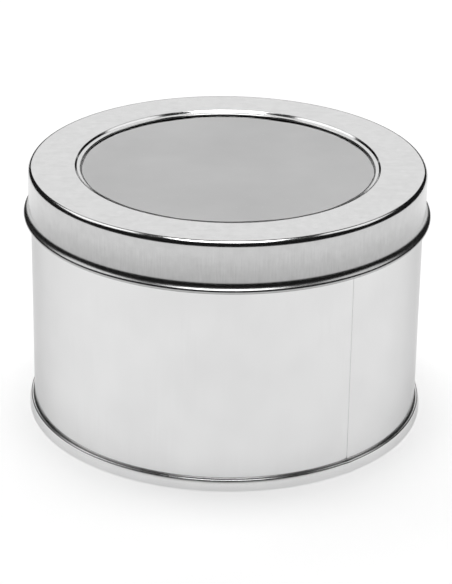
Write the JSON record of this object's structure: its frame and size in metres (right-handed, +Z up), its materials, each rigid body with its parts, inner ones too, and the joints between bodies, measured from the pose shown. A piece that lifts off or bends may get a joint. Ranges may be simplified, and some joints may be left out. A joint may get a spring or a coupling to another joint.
{
  "type": "candle tin",
  "caption": "Round tinplate candle tin: rolled body with a side seam, double-seamed bottom, and a slip-on lid with a clear disc window.",
  "frame": {"origin": "middle of the footprint, on the surface that the tin stands on", "axes": "+Z up along the tin's axis; the vertical side seam of the body faces front right, between +X and -Y"},
  "size_m": [0.0784, 0.0784, 0.0503],
  "materials": {
    "body_tinplate": "matt tinplate with fine rolling lines",
    "bottom_tinplate": "matt tinplate",
    "lid_tinplate": "matt tinplate with fine brushed grain",
    "sealing_compound": "dried water-based sealing compound",
    "clear_pvc": "clear calendered sheet",
    "protective_film": "milky matt polyethylene film"
  },
  "bodies": {
    "tin": {"body_wall": "body_tinplate", "bottom_end": "bottom_tinplate", "seam_sealing_ring": "sealing_compound"},
    "lid": {"lid_shell": "lid_tinplate", "window_disc": "clear_pvc", "window_film": "protective_film", "window_retaining_ring": "lid_tinplate"}
  },
  "joints": [
    {"name": "lid_lift", "type": "slide", "parent": "tin", "child": "lid", "axis": [0, 0, 1], "range_m": [0, 0.04]}
  ]
}
